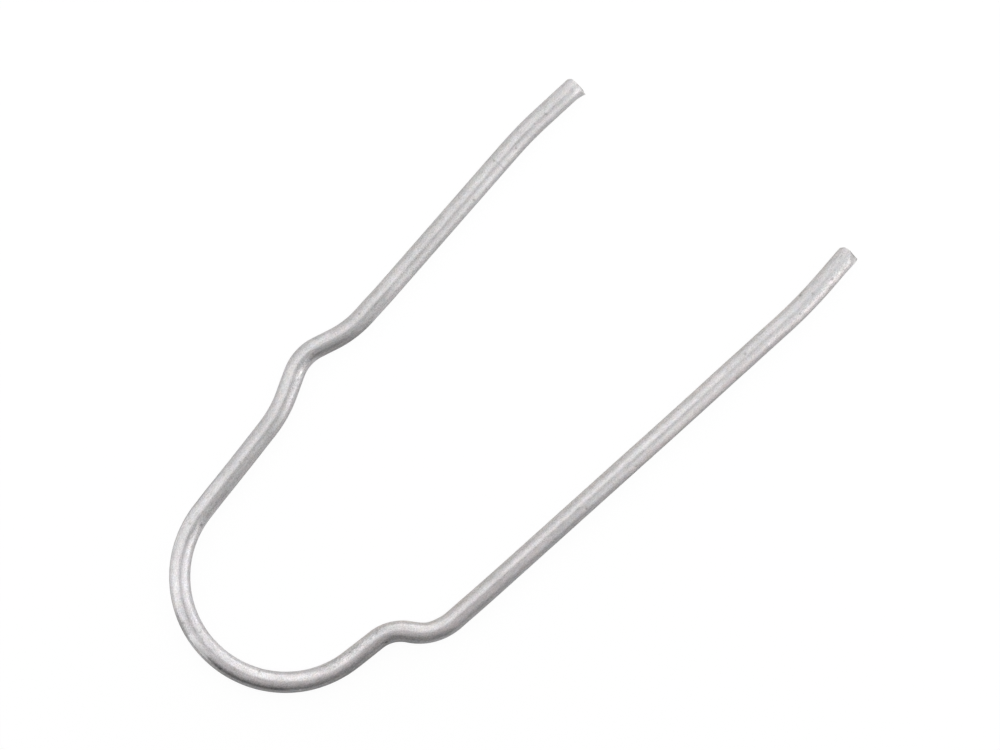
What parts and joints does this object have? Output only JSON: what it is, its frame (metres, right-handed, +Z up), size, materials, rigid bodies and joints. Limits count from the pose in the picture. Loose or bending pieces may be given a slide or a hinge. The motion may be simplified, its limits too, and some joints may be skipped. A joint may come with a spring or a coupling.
{
  "type": "wire u-clip",
  "caption": "U-shaped clip bent from one galvanised wire: a round bow, a kink in each arm and two long legs of unequal length with toed-in, sheared tips.",
  "frame": {"origin": "centre of the bow, seen from above, on the surface that the clip lies on", "axes": "+Y out of the bow along the legs, +Z up from the surface through the bow, short arm on the -X side, long arm on the +X side"},
  "size_m": [0.0399, 0.0876, 0.0025],
  "materials": {
    "galvanised_wire": "hot-dip galvanised drawn wire, dull satin with faint lengthwise draw lines"
  },
  "bodies": {
    "root": {"wire_clip": "galvanised_wire"}
  },
  "joints": []
}
